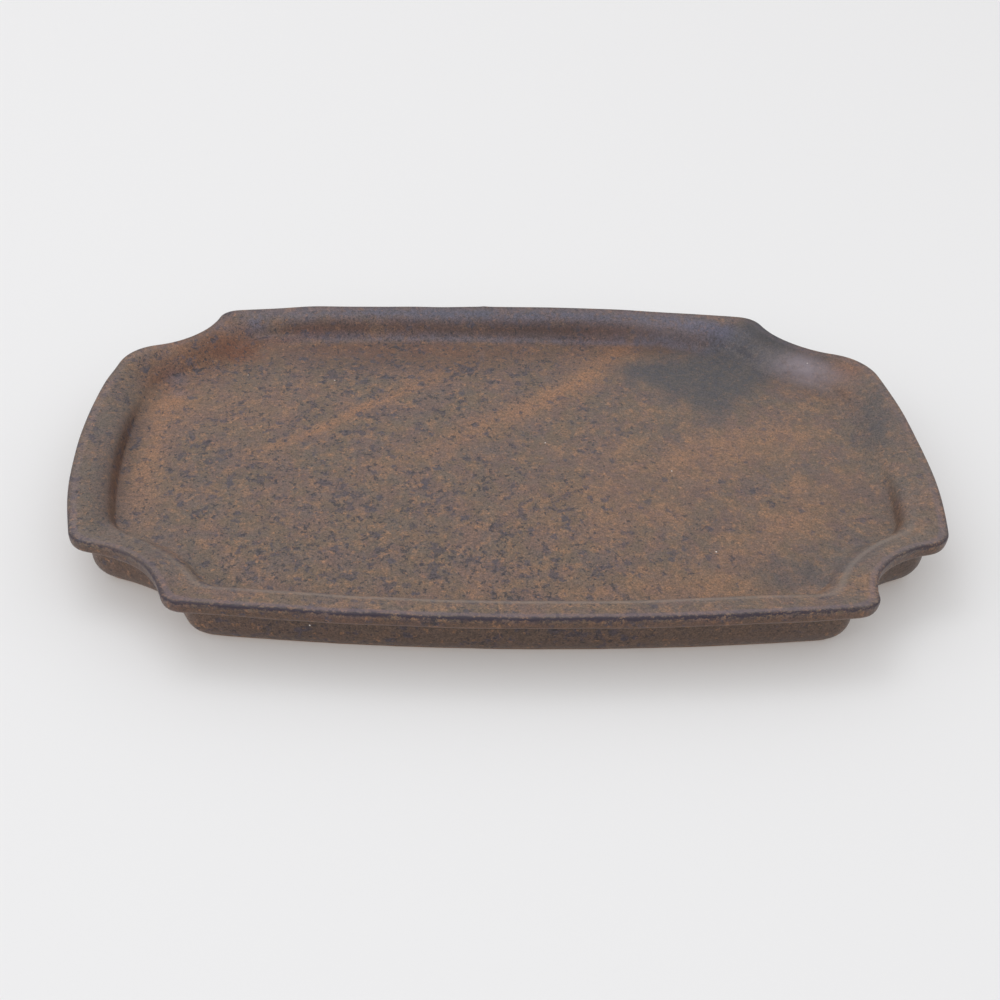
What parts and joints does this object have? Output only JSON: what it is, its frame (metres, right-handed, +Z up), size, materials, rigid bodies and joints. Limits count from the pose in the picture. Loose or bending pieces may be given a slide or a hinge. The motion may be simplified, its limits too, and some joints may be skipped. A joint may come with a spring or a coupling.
{
  "type": "bonsai tray",
  "caption": "Shallow stoneware bonsai tray with bowed sides, hollow corners, a flared rim and an inset foot, under a satin brown glaze.",
  "frame": {"origin": "centre of the tray's plan at the table, on the plane of the foot's bottom", "axes": "+X along the length, +Y to the back long side, +Z up out of the tray"},
  "size_m": [0.14, 0.0992, 0.0106],
  "materials": {
    "bare_stoneware": "matte fired clay, fine grog",
    "brown_glaze": "satin, rust and slate-blue speckle"
  },
  "bodies": {
    "root": {"floor_slab": "bare_stoneware", "wall_rim": "bare_stoneware", "foot_ring": "bare_stoneware", "glaze_coat": "brown_glaze"}
  },
  "joints": []
}
